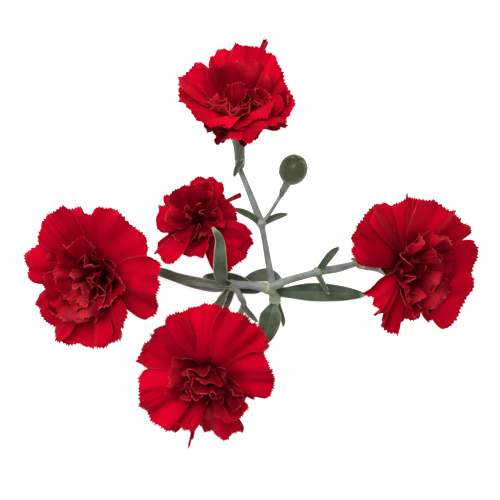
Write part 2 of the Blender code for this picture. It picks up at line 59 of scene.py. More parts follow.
# Each bloom: the throat of its calyx, where its axis points, its size, and its petals as (heading, length,
# half spread, tilt), the tilt being above the plane across the bloom's axis. The outer petals give the
# bloom its outline, the inner ones fill its heart, and the fan curls at the foot of the top bloom. A half
# spread below zero draws a petal narrower than its claw, as on one seen edge-on.
BLOOMS = {
    "left": {
        "throat": (-61.7, -9.3, 20.5), "heading": 188, "tilt": 58, "scale": 1.03,
        "outer": [
            (54, 30, 32, -8), (-11, 40, 22, -1), (98, 30, 25, -11), (118, 38, 15, 28), (155, 34, 26, 22),
            (225, 37, 22, 9), (307, 38, 16, 19), (188, 36, 26, -36), (140, 39, 22, -19), (268, 37, 26, 12),
        ],
        "inner": [
            (185, 27, 26, 40), (215, 28, 24, 34), (245, 29, 26, 38), (278, 28, 26, 42), (310, 27, 24, 40),
            (345, 28, 24, 36), (170, 24, 22, 58), (205, 23, 24, 60), (235, 25, 24, 56), (265, 24, 22, 62),
            (295, 23, 26, 58), (330, 23, 22, 60), (20, 26, 24, 48), (95, 25, 20, 52), (200, 18, 20, 75),
            (255, 19, 22, 72), (310, 17, 20, 78), (60, 18, 20, 74),
        ],
    },
    "bottom": {
        "throat": (-16.1, -49.3, 20.5), "heading": 243, "tilt": 58, "scale": 1.04,
        "outer": [
            (53, 34, 23, -25), (104, 33, 24, -31), (20, 33, 23, -51), (144, 32, 26, -13), (194, 36, 22, 41),
            (245, 31, 11, 45), (313, 27, 21, 31), (5, 32, 23, -5), (277, 35, 21, -3), (215, 37, 21, 7),
            (166, 35, 17, -17), (315, 25, 18, -25), (247, 38, 24, -32), (255, 38, -1, 10),
        ],
        "inner": [
            (75, 25, 28, 95), (40, 24, 26, 90), (110, 24, 26, 90), (138, 23, 24, 80), (0, 27, 24, 50),
            (330, 24, 22, 40), (305, 22, 20, 34), (232, 19, 20, 46), (190, 22, 24, 30), (160, 25, 24, 52),
            (250, 21, 32, 28), (212, 20, 30, 30), (288, 21, 30, 28), (320, 16, 24, 40), (60, 14, 24, 88),
        ],
    },
    "right": {
        "throat": (60.5, -7.4, 17.6), "heading": 354, "tilt": 47, "scale": 1.0,
        "outer": [
            (102, 33, 29, -18), (74, 39, 32, 29), (131, 33, 31, -22), (155, 35, 15, -14), (208, 36, 12, 14),
            (286, 27, 31, -15), (-18, 38, 33, 30), (323, 35, 20, 6), (32, 40, 16, 16), (84, 37, 25, 2),
            (262, 32, 10, -7), (340, 37, 22, -12),
        ],
        "inner": [
            (-10, 28, 24, 44), (25, 27, 24, 40), (-45, 27, 26, 44), (60, 27, 24, 46), (-80, 26, 24, 40),
            (95, 25, 22, 50), (5, 23, 22, 60), (-30, 23, 24, 58), (40, 22, 22, 62), (-65, 22, 20, 60),
            (-110, 24, 18, 52), (150, 21, 20, 60), (200, 20, 18, 64), (0, 16, 18, 76), (-60, 15, 18, 72),
            (60, 15, 18, 76),
        ],
    },
    "top": {
        "throat": (-4.9, 50.3, 18.4), "heading": 92, "tilt": 38, "scale": 0.93,
        "outer": [
            (189, 36, 30, 32), (158, 40, 27, 40), (106, 41, 13, 44), (12, 34, 31, 33), (-9, 26, 12, 5),
            (-68, 41, 22, 22), (194, 19, 37, 24), (61, 41, 21, 54), (130, 35, 15, 40), (100, 38, 24, 2),
            (62, 46, -1, 46),
        ],
        "inner": [
            (272, 23, 30, 12), (250, 22, 26, 16), (296, 25, 26, 14), (228, 21, 24, 22), (205, 26, 24, 32),
            (345, 30, 20, 26), (10, 28, 20, 36), (170, 27, 22, 40), (95, 34, 26, 66), (60, 32, 24, 62),
            (130, 33, 24, 62), (275, 25, 24, 64), (305, 25, 20, 56), (240, 25, 24, 60), (325, 26, 16, 66),
            (350, 26, 14, 58), (215, 25, 22, 66), (180, 25, 20, 62), (285, 24, 18, 78), (60, 24, 18, 78),
            (120, 24, 18, 76), (315, 27, 14, 40), (330, 27, 14, 48),
        ],
        "fan": [
            (274, 33, 32, 46), (236, 30, 30, 44), (308, 31, 28, 44),
        ],
    },
    "centre": {
        "throat": (-21.4, 11.2, 16.8), "heading": 120, "tilt": 66, "scale": 0.72,
        "outer": [
            (71, 31, 20, 20), (117, 26, 32, 0), (181, 29, 24, 19), (236, 40, 16, 11), (315, 44, 22, -26),
            (33, 25, 33, -3), (258, 28, 29, 6), (-23, 39, 12, -17), (26, 35, -1, 7),
        ],
        "inner": [
            (98, 30, 28, 56), (140, 25, 24, 52), (58, 27, 26, 56), (185, 25, 24, 44), (18, 23, 22, 50),
            (235, 24, 24, 28), (285, 23, 26, 34), (330, 25, 24, 34), (275, 11, 30, 50), (100, 17, 30, 74),
            (180, 14, 24, 70), (20, 14, 24, 70),
        ],
    },
}

# The look of each row of petals. wave and frill are the heights of the broad and the fine ruffles, ripples
# is how many fine ones cross the blade, curl bends the outer half, cup hollows the blade, fold creases it
# along its middle, tone is how light its red is, between the two ends drawn from, and faces are its rows
# and columns. The inner rows draw low tones, so that their darker red paints the shade deep in the heart.
OUTER_LOOK = {
    "wave": 2.0, "frill": 0.5, "ripples": 5.4, "curl": -14, "cup": 0.02, "fold": 0.0,
    "tone": (0.45, 1.0), "faces": (22, 56),
}
INNER_LOOK = {
    "wave": 2.4, "frill": 0.6, "ripples": 4.0, "curl": -14, "cup": 0.12, "fold": 0.12,
    "tone": (0.0, 0.34), "faces": (18, 40),
}
FAN_LOOK = {**INNER_LOOK, "wave": 1.6, "curl": -85, "fold": 0.0, "tone": (0.7, 1.0)}
PETAL_ROWS = (("outer", OUTER_LOOK), ("inner", INNER_LOOK), ("fan", FAN_LOOK))

# ---------------------------------------------------------------- surfaces into meshes

MERGE_DISTANCE = 1e-7
# The middle of a wall keeps this share of its thickness above the surface that the spray lies on.
CLEARANCE = 0.6


def ease(x, start=0, over=1):
    """0 up to start and 1 from start + over on, with a smooth climb between."""
    x = np.clip((x - start) / over, 0, 1)
    return x * x * (3 - 2 * x)


def grid_quads(rows, columns, around):
    """Corner numbers of the faces of a [row, column] grid of points; around closes each row on itself."""
    last = columns if around else columns - 1
    row, column = np.meshgrid(np.arange(rows - 1), np.arange(last), indexing="ij")
    here, above, after = row * columns, (row + 1) * columns, (column + 1) % columns
    quads = [here + column, here + after, above + after, above + column]
    return np.stack([q.ravel() for q in quads], axis=-1)


def piece_from(name, sheets, material, around=False):
    """One mesh object from point grids in millimetres, each with its map across and along and its tone, a
    number of its own from 0 to 1. around closes every row on itself and its end rows to points."""
    points, maps, tones, quads, start = [], [], [], [], 0
    for grid, across, along, tone in sheets:
        size = grid.shape[:2]
        blade_map = [np.broadcast_to(across, size), np.broadcast_to(along, size)]
        points.append(grid.reshape(-1, 3))
        maps.append(np.stack(blade_map, axis=-1).reshape(-1, 2))
        tones.append(np.broadcast_to(tone, size).ravel())
        quads.append(grid_quads(*size, around) + start)
        start += size[0] * size[1]
    points = (np.vstack(points) - FOOTPRINT_MIDDLE) * MM
    maps, tones, quads = np.vstack(maps), np.concatenate(tones), np.vstack(quads)
    corners = maps[quads]
    if around:
        seam = corners[:, 1, 0] < corners[:, 0, 0]
        corners[seam, 1:3, 0] = 1
    mesh = bpy.data.meshes.new(name)
    mesh.vertices.add(len(points))
    mesh.vertices.foreach_set("co", points.ravel())
    mesh.loops.add(quads.size)
    mesh.loops.foreach_set("vertex_index", quads.ravel().astype(np.int32))
    mesh.polygons.add(len(quads))
    mesh.polygons.foreach_set("loop_start", np.arange(0, quads.size, 4, dtype=np.int32))
    mesh.update(calc_edges=True)
    layer = mesh.uv_layers.new(name="blade")
    layer.data.foreach_set("uv", corners.ravel().astype(np.float32))
    shade = mesh.attributes.new("tone", "FLOAT", "POINT")
    shade.data.foreach_set("value", tones.astype(np.float32))
    if around:
        close_ends(mesh)
    mesh.shade_smooth()
    mesh.materials.append(material)
    piece = bpy.data.objects.new(name, mesh)
    bpy.context.scene.collection.objects.link(piece)
    return piece


def close_ends(mesh):
    """Merges the end rows that have drawn together to points and turns the faces outwards."""
    shell = bmesh.new()
    shell.from_mesh(mesh)
    bmesh.ops.remove_doubles(shell, verts=shell.verts, dist=MERGE_DISTANCE)
    bmesh.ops.recalc_face_normals(shell, faces=shell.faces)
    shell.to_mesh(mesh)
    shell.free()


def thicken(piece, thickness, front=None):
    """Gives open sheets a wall of even thickness, half on each side. front is a material for the side that
    the sheets' faces look to, and the other side keeps the piece's own."""
    solidify = piece.modifiers.new("Thickness", "SOLIDIFY")
    solidify.thickness = thickness * MM
    solidify.offset = 0
    if front:
        piece.data.materials.append(front)
        solidify.material_offset = 1
    return piece


def join(first, second):
    """One object from two, with their modifiers applied."""
    for piece in (first, second):
        bpy.context.view_layer.update()
        graph = bpy.context.evaluated_depsgraph_get()
        solid = bpy.data.meshes.new_from_object(piece.evaluated_get(graph), depsgraph=graph)
        piece.modifiers.clear()
        piece.data = solid
    both = bmesh.new()
    both.from_mesh(first.data)
    both.from_mesh(second.data)
    both.to_mesh(first.data)
    both.free()
    bpy.data.objects.remove(second)
    return first


def rest_on_surface(grid, thickness):
    """Lifts what would dip below the surface the spray lies on."""
    grid[..., 2] = np.maximum(grid[..., 2], thickness * CLEARANCE)
    return grid


# ---------------------------------------------------------------- petals

# How each petal leaves the throat of the calyx: its distance from the axis, its steepness and half width
# there, the share of its length over which it bends to its own tilt, and its roll over its neighbour.
CLAW_RADIUS = 1.6
CLAW_TILT = 82.0
CLAW_HALF_WIDTH = 1.3
CLAW_SHARE = 0.5
OVERLAP_ROLL = 11.0

# The middle line is worked out at this many places, up to a little past the petal's length. It starts to
# curl at the first share of the length and is fully curled when the second has been added.
MIDDLE_PLACES = 116
MIDDLE_REACH = 1.15
CURL = (0.6, 0.5)

# Rows of faces crowd towards the margin by this power.
ROW_POWER = 0.85
# The margin's rounding by the fourth and the second power of v, how many lobes it has, how deep they are
# and how blunt, its unevenness as (depth, rate), and how deep its teeth are and where they stand. Depths
# are shares of the petal's length.
MARGIN_ROUNDING = (0.12, 0.05)
LOBE_COUNT = (2.2, 3.4)
LOBE_DEPTH = 0.035
LOBE_POWER = 0.7
UNEVENNESS = ((0.02, 2.3), (0.012, 9))
FRINGE_SIZES = (0.35, 1.0)
FRINGE_MIDDLE = 0.4
FRINGE_DEPTH = 0.036
FRINGED = (0.9, 0.1)

# Where along the petal its width spreads, its sides draw in, and its waves and frills rise, each as where
# it starts and over how much of the length.
SPREADING = (0.1, 0.5)
DRAWING_IN = (0.7, 0.3)
WAVING = (0.22, 0.78)
FRILLING = (0.62, 0.38)
ROLLING = (0, 0.5)
DRAWN_IN = 0.18
FRILL_POWER = 1.5
# The broad waves as (share of the height, power of the distance, half turns across, turn along).
BROAD_WAVES = ((1.0, 1, 1.5, 0.0), (0.55, 2, 3.1, 1.5))
RIPPLE_CHANGE = (0.82, 1.18)
# The frill's ripples sway by (height, rate across, rate along), carry smaller ones by (share, rate, shift)
# and push the blade sideways by this share of their height. The crease along the middle is this wide.
RIPPLE_SWAY = (0.8, 3, 4)
SMALL_RIPPLES = (0.35, 2.3, 1.0)
SIDEWAYS = 0.5
CREASE_WIDTH = 1.0
# Random phases are drawn from about a full turn.
PHASE = (0, 6.3)

# A petal of the first length is as dark as the heart, painted shade for its depth in the bloom, and one
# longer by the second has its full tone.
HEART_SHADE_LENGTHS = (17, 10)


def petal_margin(u, v, draw):
    """How far along the petal each grid point lies, as a share of its length. The blade rounds off towards
    its sides, its margin is lobed like a row of arches and a little uneven, and uneven teeth stand on every
    other column of its last tenth."""
    lobes = draw.uniform(*LOBE_COUNT)
    lobe_shift = draw.uniform(0, math.pi)
    lobed = LOBE_DEPTH * (np.abs(np.sin(lobes * math.pi * v / 2 + lobe_shift)) ** LOBE_POWER - 1)
    for depth, rate in UNEVENNESS:
        lobed = lobed + depth * np.sin(rate * v + draw.uniform(*PHASE))
    every_other = np.where(np.arange(v.size) % 2, 1.0, 0.0)
    teeth = every_other * draw.uniform(*FRINGE_SIZES, v.size)
    fourth, second = MARGIN_ROUNDING
    rounded = u * (1 - fourth * v**4 - second * v**2 + lobed)
    return rounded + FRINGE_DEPTH * (teeth[None, :] - FRINGE_MIDDLE) * ease(u, *FRINGED)


def petal_middle(look):
    """The middle line of a petal seen from its side, as (share of the length, out, up, angle). It climbs out
    of the calyx at CLAW_TILT, bends to its own tilt over the claw and curls on over the outer half."""
    share = np.linspace(0, MIDDLE_REACH, MIDDLE_PLACES)
    angle = CLAW_TILT + (look["tilt"] - CLAW_TILT) * ease(share, 0, CLAW_SHARE)
    angle = np.radians(angle + look["curl"] * ease(share, *CURL))
    step = share[1] * look["length"]
    out = np.concatenate([[0], np.cumsum(np.cos(angle) * step)[:-1]])
    up = np.concatenate([[0], np.cumsum(np.sin(angle) * step)[:-1]])
    return share, out, up, angle


def petal_surface(look, draw):
    """One petal's blade in the bloom's frame, heading along +X, as [row, column, xyz], with its map.

    The blade widens like a fan from a narrow claw along its middle line. Broad waves and fine frills stand
    off it, growing along it, and move its margin sideways. It is hollowed by the square of its width,
    creased along its middle, and rolled so that it lies over its neighbour.
    """
    rows, columns = look["faces"]
    u = np.linspace(0, 1, rows + 1)[:, None] ** ROW_POWER
    v = np.linspace(-1, 1, columns + 1)[None, :]
    s = petal_margin(u, v, draw)
    share, out, up, angle = petal_middle(look)
    r = CLAW_RADIUS + np.interp(s, share, out)
    z = np.interp(s, share, up)
    a = np.interp(s, share, angle)
    fan = math.tan(math.radians(look["spread"])) * look["length"]
    half = CLAW_HALF_WIDTH + fan * s * ease(s, *SPREADING)
    side = v * half * (1 - DRAWN_IN * ease(s, *DRAWING_IN) * v**2)
    grown = ease(s, *WAVING)
    lift = 0
    for height, power, half_turns, lean in BROAD_WAVES:
        wave = np.sin(math.pi * half_turns * v + draw.uniform(*PHASE) + lean * s)
        lift = lift + height * look["wave"] * grown**power * wave
    frill = look["frill"] * ease(s, *FRILLING) ** FRILL_POWER
    ripple = math.pi * look["ripples"] * draw.uniform(*RIPPLE_CHANGE) * v + draw.uniform(*PHASE)
    sway, across, along = RIPPLE_SWAY
    ripple = ripple + sway * np.sin(across * v + along * s)
    small, rate, shift = SMALL_RIPPLES
    lift = lift + frill * np.sin(ripple) + small * frill * np.sin(rate * ripple + shift)
    side = side + SIDEWAYS * frill * np.cos(ripple)
    crease = np.sqrt(side**2 + CREASE_WIDTH**2)
    lift = lift + look["cup"] * half * v**2 + look["fold"] * crease * grown
    lift = lift + side * math.tan(math.radians(OVERLAP_ROLL)) * ease(s, *ROLLING)
    grid = np.stack([r - lift * np.sin(a), side, z + lift * np.cos(a)], axis=-1)
    return grid, v * 0.5 + 0.5, s


def bloom_frame(heading, tilt):
    """Columns are the bloom's own X, Y and Z: Z is its axis and X points outwards and down."""
    a, e = math.radians(heading), math.radians(tilt)
    x = [math.cos(a) * math.sin(e), math.sin(a) * math.sin(e), -math.cos(e)]
    z = [math.cos(a) * math.cos(e), math.sin(a) * math.cos(e), math.sin(e)]
    return np.array([x, np.cross(z, x), z]).T


def in_bloom(points, turn, bloom):
    """Points of the bloom's frame turned about its axis and put in their place in the spray."""
    c, s = math.cos(math.radians(turn)), math.sin(math.radians(turn))
    about_axis = points @ np.array([[c, s, 0], [-s, c, 0], [0, 0, 1]])
    axes = bloom_frame(bloom["heading"], bloom["tilt"])
    return about_axis @ axes.T * bloom["scale"] + np.array(bloom["throat"])


def make_petals(name, bloom, seed, under, upper):
    """All the petals of a bloom, row by row, in one piece. Short petals deep in the heart get the darkest
    red, as painted shade.
    """
    draw = np.random.default_rng(seed)
    sheets = []
    for row, row_look in PETAL_ROWS:
        for heading, length, spread, tilt in bloom.get(row, []):
            look = {**row_look, "length": length, "spread": spread, "tilt": tilt}
            grid, across, along = petal_surface(look, draw)
            points = in_bloom(grid, heading - bloom["heading"], bloom)
            tone = draw.uniform(*look["tone"]) * ease(length, *HEART_SHADE_LENGTHS)
            sheets.append((rest_on_surface(points, PETAL_THICK), across, along, tone))
    return thicken(piece_from(name, sheets, under), PETAL_THICK, upper)


# ---------------------------------------------------------------- stems

# The stems as (x, y, z, radius) along their middles, swollen at the nodes where leaves and branches leave
# them. The main stem runs from its cut end through its three nodes. The others start inside the stem that
# carries them, and the bud's stalk swells again under the bud.
MAIN_STEM = [
    (0.2, -50.0, 2.1, 1.9), (3.4, -40.0, 2.1, 1.9), (7.8, -30.0, 3.6, 1.9), (10.2, -24.6, 6.6, 2.0),
    (10.8, -21.6, 8.8, 2.6), (10.0, -18.8, 11.0, 1.9), (7.3, -16.6, 12.9, 2.5), (3.6, -15.8, 13.4, 1.8),
    (-1.4, -15.2, 13.4, 1.6), (-5.6, -15.2, 13.2, 1.8), (-8.0, -15.4, 13.0, 2.5),
    (-10.4, -15.9, 12.4, 1.6), (-12.2, -16.6, 11.4, 1.3),
]
TOP_BRANCH = [
    (10.8, -21.6, 8.8, 1.6), (9.9, -15.8, 7.2, 1.6), (8.5, -8.0, 7.6, 1.45), (6.4, 4.0, 9.2, 1.25),
    (5.4, 9.2, 9.8, 1.3), (4.9, 11.6, 10.0, 2.2), (4.0, 14.0, 10.2, 1.65), (0.2, 24.0, 10.2, 1.4),
    (-3.0, 31.8, 9.2, 1.2),
]
RIGHT_BRANCH = [
    (7.3, -16.6, 12.9, 1.8), (11.0, -15.4, 12.6, 1.8), (16.4, -13.2, 11.8, 1.65), (26.6, -10.4, 9.8, 1.6),
    (29.4, -9.5, 9.2, 2.3), (32.2, -9.0, 8.6, 1.8), (38.6, -8.0, 6.0, 1.75),
]
LEFT_STALK = [
    (-10.4, -15.9, 12.4, 1.3), (-12.4, -16.9, 11.2, 1.3), (-17.0, -17.0, 8.7, 1.3),
    (-26.0, -15.1, 5.5, 1.3), (-41.0, -9.8, 3.0, 1.4),
]
BOTTOM_STALK = [
    (-6.8, -15.5, 13.2, 1.3), (-4.0, -20.8, 11.0, 1.3), (-3.2, -25.4, 6.6, 1.3),
]
CENTRE_STALK = [
    (-9.6, -15.6, 12.6, 1.2), (-12.6, -10.0, 8.6, 1.2), (-17.2, 0.6, 3.6, 1.2),
]
BUD_STALK = [
    (4.9, 11.6, 10.0, 0.8), (8.4, 15.8, 11.0, 0.8), (12.9, 22.9, 12.0, 0.9), (14.3, 25.4, 12.6, 1.35),
    (16.0, 28.8, 14.2, 1.75),
]
BUD = {"throat": (16.6, 30.0, 14.6), "heading": 66, "tilt": 45, "scale": 1.0}

# A path is smoothed with this many steps between each two of its points.
PATH_STEPS = 12
STEM_SIDES = 32
STEM_SPACING = 0.45
STEM_RIBS = 8
STEM_RIB_DEPTH = 0.012
# A stem starts to swell into a node at the first radius and has swollen once it is thicker by the second.
NODE_RADII = (1.85, 0.6)
COLLAR_HEIGHT = 0.1
COLLAR_RATE = 2.4
# This length of a stem is one unit of its map.
STEM_MAP_LENGTH = 30
# How a stem's end closes: shares of the last ring and how far each lies beyond it.
CUT_END = [(0.94, 0.1), (0.6, 0.1), (0.3, 0.04), (0.0, 0.02)]
# How a stalk ends in its calyx: how far along the axis from the calyx's foot, and its radius there.
STALK_END = [(-1.6, 1.3), (0.6, 1.5)]


def smooth_path(points, steps):
    """A Catmull-Rom curve through the points, with that many steps between each two."""
    p = np.array(points, float)
    p = np.vstack([2 * p[0] - p[1], p, 2 * p[-1] - p[-2]])
    t = (np.arange(steps) / steps)[:, None]
    pieces = []
    for a, b, c, d in zip(p, p[1:], p[2:], p[3:]):
        square, cube = 2 * a - 5 * b + 4 * c - d, 3 * b - a - 3 * c + d
        pieces.append(0.5 * (2 * b + (c - a) * t + square * t**2 + cube * t**3))
    return np.vstack([*pieces, p[-2]])


def evenly(path, spacing):
    """The path resampled at an even spacing, and how far along it each point lies."""
    steps = np.linalg.norm(np.diff(path[:, :3], axis=0), axis=1)
    along = np.concatenate([[0], np.cumsum(steps)])
    at = np.linspace(0, along[-1], max(int(along[-1] / spacing), 4) + 1)
    return np.stack([np.interp(at, along, path[:, k]) for k in range(path.shape[1])], axis=-1), at


def shares_along(path):
    """How far along a path each of its points lies, as a share of its length."""
    steps = np.linalg.norm(np.diff(path, axis=0), axis=1)
    return np.concatenate([[0], np.cumsum(steps)]) / steps.sum()


def path_frames(middle):
    """The direction of a path at each point, and two directions square to it, the first one level."""
    along = np.gradient(middle, axis=0)
    along /= np.linalg.norm(along, axis=1)[:, None]
    level = np.cross([0, 0, 1], along)
    level /= np.linalg.norm(level, axis=1)[:, None]
    return along, level, np.cross(along, level)


def closing_rings(ring, centre, outwards):
    """The rings that close a stem's end beyond its last full one, drawing together to a point."""
    return np.array([centre + (ring - centre) * share + outwards * beyond for share, beyond in CUT_END])


def stem_surface(points):
    """A stem along (x, y, z, radius) points: rings square to its smooth middle line, faintly ribbed, with a
    wavy collar round each node, closed by the shares of CUT_END at both ends. Its tone is how swollen it is,
    from 0 to 1."""
    path, length = evenly(smooth_path(points, PATH_STEPS), STEM_SPACING)
    middle, radius = path[:, :3], path[:, 3]
    near = ease(radius, *NODE_RADII)
    along, level, up = path_frames(middle)
    turn = np.linspace(0, math.tau, STEM_SIDES, endpoint=False)
    collar = COLLAR_HEIGHT * near * np.cos(length * COLLAR_RATE)
    ribbed = (radius + collar)[:, None] * (1 + STEM_RIB_DEPTH * np.cos(STEM_RIBS * turn)[None, :])
    cosines, sines = np.cos(turn)[None, :, None], np.sin(turn)[None, :, None]
    ring = level[:, None, :] * cosines + up[:, None, :] * sines
    rings = middle[:, None, :] + ring * ribbed[:, :, None]
    first = closing_rings(rings[0], middle[0], -along[0])[::-1]
    last = closing_rings(rings[-1], middle[-1], along[-1])
    grid = np.concatenate([first, rings, last])
    ends = len(CUT_END)
    along_map = np.pad(length, ends, mode="edge") / STEM_MAP_LENGTH
    tone = np.pad(near, ends)
    return grid, (turn / math.tau)[None, :], along_map[:, None], tone[:, None]


def path_to(points, foot, axis):
    """The path of a stem carried on to the foot of a calyx, ending along its axis inside it."""
    return [*points, *((*(foot + axis * beyond), radius) for beyond, radius in STALK_END)]


def foot_of(bloom):
    """Where the stalk meets the calyx, and the direction of the bloom's axis."""
    axis = bloom_frame(bloom["heading"], bloom["tilt"])[:, 2]
    return np.array(bloom["throat"]) - axis * CALYX_LENGTH * bloom["scale"], axis


def make_stem(name, points, material):
    """A stem in one piece, closed at both ends."""
    return piece_from(name, [stem_surface(points)], material, around=True)


# ---------------------------------------------------------------- leaves

# Each leaf: how thickly it is waxed, from 0, green, to 1, grey, its greatest half width, at what share of its
# length that is, its roll at its base and its tip, how deep its channel is, and its middle line from inside
# its stem.
LEAVES = {
    "leaf_lower_front": (0.2, 4.8, 0.36, (0, 0), 0.12, [
        (10.6, -22.6, 9.4), (9.5, -27.0, 10.6), (7.9, -34.0, 9.4), (6.2, -41.6, 6.4),
    ]),
    "leaf_lower_back": (0.75, 2.9, 0.6, (0, 0), 0.0, [
        (11.8, -22.0, 6.8), (12.8, -17.4, 4.0), (11.6, -13.4, 2.2), (8.0, -11.0, 1.4), (3.4, -11.4, 1.4),
        (-2.6, -13.0, 1.4),
    ]),
    "leaf_middle_right": (0.0, 4.1, 0.48, (0, 0), 0.14, [
        (8.4, -17.8, 11.4), (12.9, -18.5, 9.2), (28.0, -18.4, 7.2), (51.2, -19.7, 4.5),
    ]),
    "leaf_middle_left": (0.05, 3.9, 0.5, (0, 0), 0.1, [
        (6.2, -17.0, 11.6), (1.0, -16.8, 8.0), (-9.0, -13.8, 5.6), (-20.6, -11.6, 5.0),
    ]),
    "leaf_upper_rising": (0.3, 2.95, 0.45, (0, 8), 0.3, [
        (-8.8, -14.8, 14.6), (-12.0, -13.4, 21.4), (-12.7, -8.8, 31.0), (-12.8, -2.4, 36.2),
        (-13.0, 4.2, 38.4), (-15.8, 9.8, 39.0),
    ]),
    "leaf_upper_left": (0.85, 2.2, 0.8, (0, -25), 0.2, [
        (-9.6, -15.8, 13.8), (-15.2, -14.9, 15.4), (-21.9, -13.7, 15.0), (-27.4, -12.8, 13.6),
        (-33.0, -11.5, 11.6), (-42.0, -8.0, 9.6),
    ]),
    "leaf_upper_pale": (0.9, 2.6, 0.5, (0, 0), 0.15, [
        (-9.8, -17.0, 12.8), (-12.0, -20.8, 10.2), (-15.2, -25.4, 6.0), (-24.0, -31.0, 2.8),
        (-42.6, -35.6, 1.4),
    ]),
    "leaf_branch_left": (0.25, 1.45, 0.55, (0, 0), 0.2, [
        (4.6, 11.8, 10.4), (2.0, 13.8, 12.4), (-1.8, 16.0, 13.6), (-7.2, 18.1, 14.2),
    ]),
    "leaf_branch_right": (0.25, 1.4, 0.55, (0, 0), 0.2, [
        (5.2, 11.6, 9.4), (8.4, 13.2, 8.0), (12.2, 14.8, 7.6), (16.6, 15.8, 7.4),
    ]),
    "leaf_right_up": (0.0, 1.7, 0.6, (0, 0), 0.2, [
        (30.0, -9.2, 9.8), (32.2, -5.8, 12.2), (35.3, -1.8, 14.4), (38.8, 1.4, 16.0),
    ]),
    "leaf_right_down": (0.3, 1.1, 0.5, (0, 0), 0.2, [
        (29.4, -9.9, 9.4), (30.8, -12.8, 11.0), (32.6, -16.0, 11.4), (34.4, -19.2, 11.0),
    ]),
}

# The middle lines of the small bracts on the stems, and the wax and the shape that they all share.
BRACTS = {
    "main_stem": [
        [(-7.8, -16.2, 12.4), (-9.0, -21.4, 8.4), (-11.8, -28.0, 6.8), (-12.4, -32.0, 5.2)],
        [(11.4, -22.6, 7.2), (13.4, -27.6, 6.2), (14.6, -31.0, 5.6), (14.6, -33.6, 5.2)],
    ],
    "top_branch": [
        [(-4.2, 38.6, 11.4), (-5.3, 36.4, 13.2), (-6.2, 34.2, 13.0), (-7.0, 31.8, 12.2)],
    ],
    "right_branch": [
        [(49.8, -6.4, 6.6), (48.2, -5.5, 8.8), (46.2, -4.5, 8.9), (44.1, -3.6, 8.2)],
    ],
    "bottom_stalk": [
        [(-3.4, -24.2, 8.0), (-0.6, -27.4, 7.8), (3.4, -31.6, 7.0)],
    ],
    "bud_stalk": [
        [(14.2, 25.8, 12.8), (13.9, 24.6, 14.2), (13.2, 22.6, 13.9)],
    ],
}
BRACT_WAX = 0.5
BRACT_SHAPE = (1.2, 0.4, (0, 0), 0.3)
BRACT_FACES = (16, 8)

LEAF_FACES = (60, 16)
LEAF_SPACING = 0.2
LEAF_BASE_HALF = 1.5
LEAF_TIP_HALF = 0.12
# A leaf closes to its tip by this power.
TIP_POWER = 0.7
# The sheath clasps the stem over this share of the leaf, bends up this much and narrows by this share.
SHEATH_SHARE = 0.14
SHEATH_BEND = 0.75
SHEATH_NARROWING = 0.35
CHANNEL_POWER = 1.3
SHEATH_POWER = 1.2
KEEL_DEPTH = 0.18
KEEL_HALF_WIDTH = 0.12
RIPPLE_HEIGHT = 0.12
RIPPLE_RATE = 31


def leaf_surface(half, widest, roll, channel, line, faces=LEAF_FACES):
    """A narrow leaf along its line. Its half width grows from the sheath to its widest place and closes to a
    point as the root of a circle does. Its section is a shallow channel with a keel, deepest at the sheath,
    and its margins ripple a little."""
    rows, columns = faces
    path, _ = evenly(smooth_path(line, PATH_STEPS), LEAF_SPACING)
    share = shares_along(path)
    u = np.linspace(0, 1, rows + 1)
    middle = np.stack([np.interp(u, share, path[:, k]) for k in range(3)], axis=-1)
    _, side, up = path_frames(middle)
    a = np.radians(roll[0] + (roll[1] - roll[0]) * u)[:, None]
    side, up = side * np.cos(a) + up * np.sin(a), up * np.cos(a) - side * np.sin(a)
    closing = np.clip(1 - ((u - widest) / (1 - widest)) ** 2, 0, 1) ** TIP_POWER
    grow = LEAF_BASE_HALF + (half - LEAF_BASE_HALF) * ease(u, 0, widest)
    close = LEAF_TIP_HALF + (half - LEAF_TIP_HALF) * closing
    width = np.where(u < widest, grow, close)[:, None]
    v = np.linspace(-1, 1, columns + 1)[None, :]
    sheath = 1 - ease(u, 0, SHEATH_SHARE)[:, None]
    across = width * (v * (1 - SHEATH_NARROWING * sheath * np.abs(v)))
    rise = width * (channel * np.abs(v) ** CHANNEL_POWER + sheath * SHEATH_BEND * np.abs(v) ** SHEATH_POWER)
    rise = rise - KEEL_DEPTH * np.exp(-((v / KEEL_HALF_WIDTH) ** 2)) * (1 - u[:, None])
    rise = rise + RIPPLE_HEIGHT * np.sin(u[:, None] * RIPPLE_RATE + 2 * v) * np.abs(v) ** 3
    grid = middle[:, None, :] + side[:, None, :] * across[..., None] + up[:, None, :] * rise[..., None]
    return grid, v * 0.5 + 0.5, u[:, None]


def make_leaf(name, shape, wax, material):
    """A leaf in one piece, kept above the surface that it lies on."""
    grid, across, along = leaf_surface(*shape)
    grid = rest_on_surface(grid, LEAF_THICK)
    return thicken(piece_from(name, [(grid, across, along, wax)], material), LEAF_THICK)


def make_bracts(name, lines, material):
    """All the bracts of one stem in one piece."""
    sheets = [(*leaf_surface(*BRACT_SHAPE, line, BRACT_FACES), BRACT_WAX) for line in lines]
    return thicken(piece_from(name, sheets, material), LEAF_THICK)


# ---------------------------------------------------------------- calyxes and bud

# Profiles as (radius, height) from the foot up.
CUP_PROFILE = [
    (0.0, -19.2), (1.2, -19.1), (1.8, -18.6), (2.1, -17.2), (2.25, -11.0), (2.6, -6.6), (3.5, -2.8),
    (4.6, 0.2), (5.6, 2.0), (6.8, 3.6),
]
BUD_PROFILE = [
    (0.0, -0.1), (1.2, 0.0), (2.6, 0.5), (4.5, 2.4), (5.7, 5.0), (6.0, 7.4), (5.7, 9.8), (4.6, 12.2),
    (3.0, 13.7), (1.4, 14.4), (0.0, 14.6),
]
CUP_FACES = (34, 80)
CUP_RIBS = 25
CUP_RIB_DEPTH = 0.016
CUP_TONE = 0.5
TEETH = 5
TOOTH_FOOT = -2.6
TOOTH_LENGTH = 5.4
TOOTH_TURN = 0.3
TOOTH_POWER = 0.8
PROFILE_PLACES = 200
PROFILE_STEPS = 8

